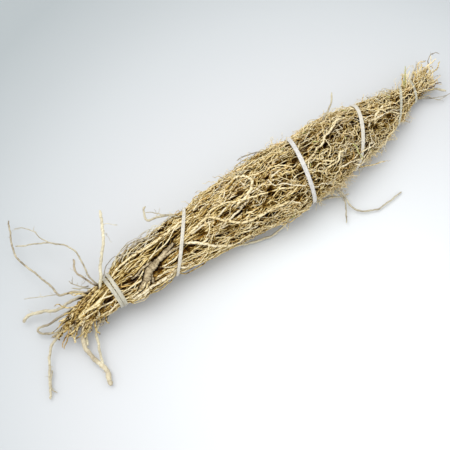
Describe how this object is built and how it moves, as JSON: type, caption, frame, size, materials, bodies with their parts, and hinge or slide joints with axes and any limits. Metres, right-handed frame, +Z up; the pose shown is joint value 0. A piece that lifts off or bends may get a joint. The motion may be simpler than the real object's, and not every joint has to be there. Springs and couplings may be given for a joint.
{
  "type": "dried root bundle",
  "caption": "Long bundle of thin dried roots lying on its side, tapered to both ends, with crooked loose roots at its ends and sides and elastic bands pulled round it.",
  "frame": {"origin": "middle of the flat spot under the fattest part of the bundle, where it rests", "axes": "+X along the bundle from the stout loose ends to the fine frayed tip, +Y across it to the side that the upright loose root leans to, +Z up"},
  "size_m": [0.358, 0.1351, 0.0411],
  "materials": {
    "dried_root": "dry, matt and finely wrinkled",
    "elastic": "smooth, milky and slightly see-through"
  },
  "bodies": {
    "root": {"root_bunch": "dried_root", "stout_root": "dried_root", "band_1": "elastic", "band_2": "elastic", "band_3": "elastic", "band_4": "elastic", "band_5": "elastic", "band_6": "elastic"}
  },
  "joints": []
}
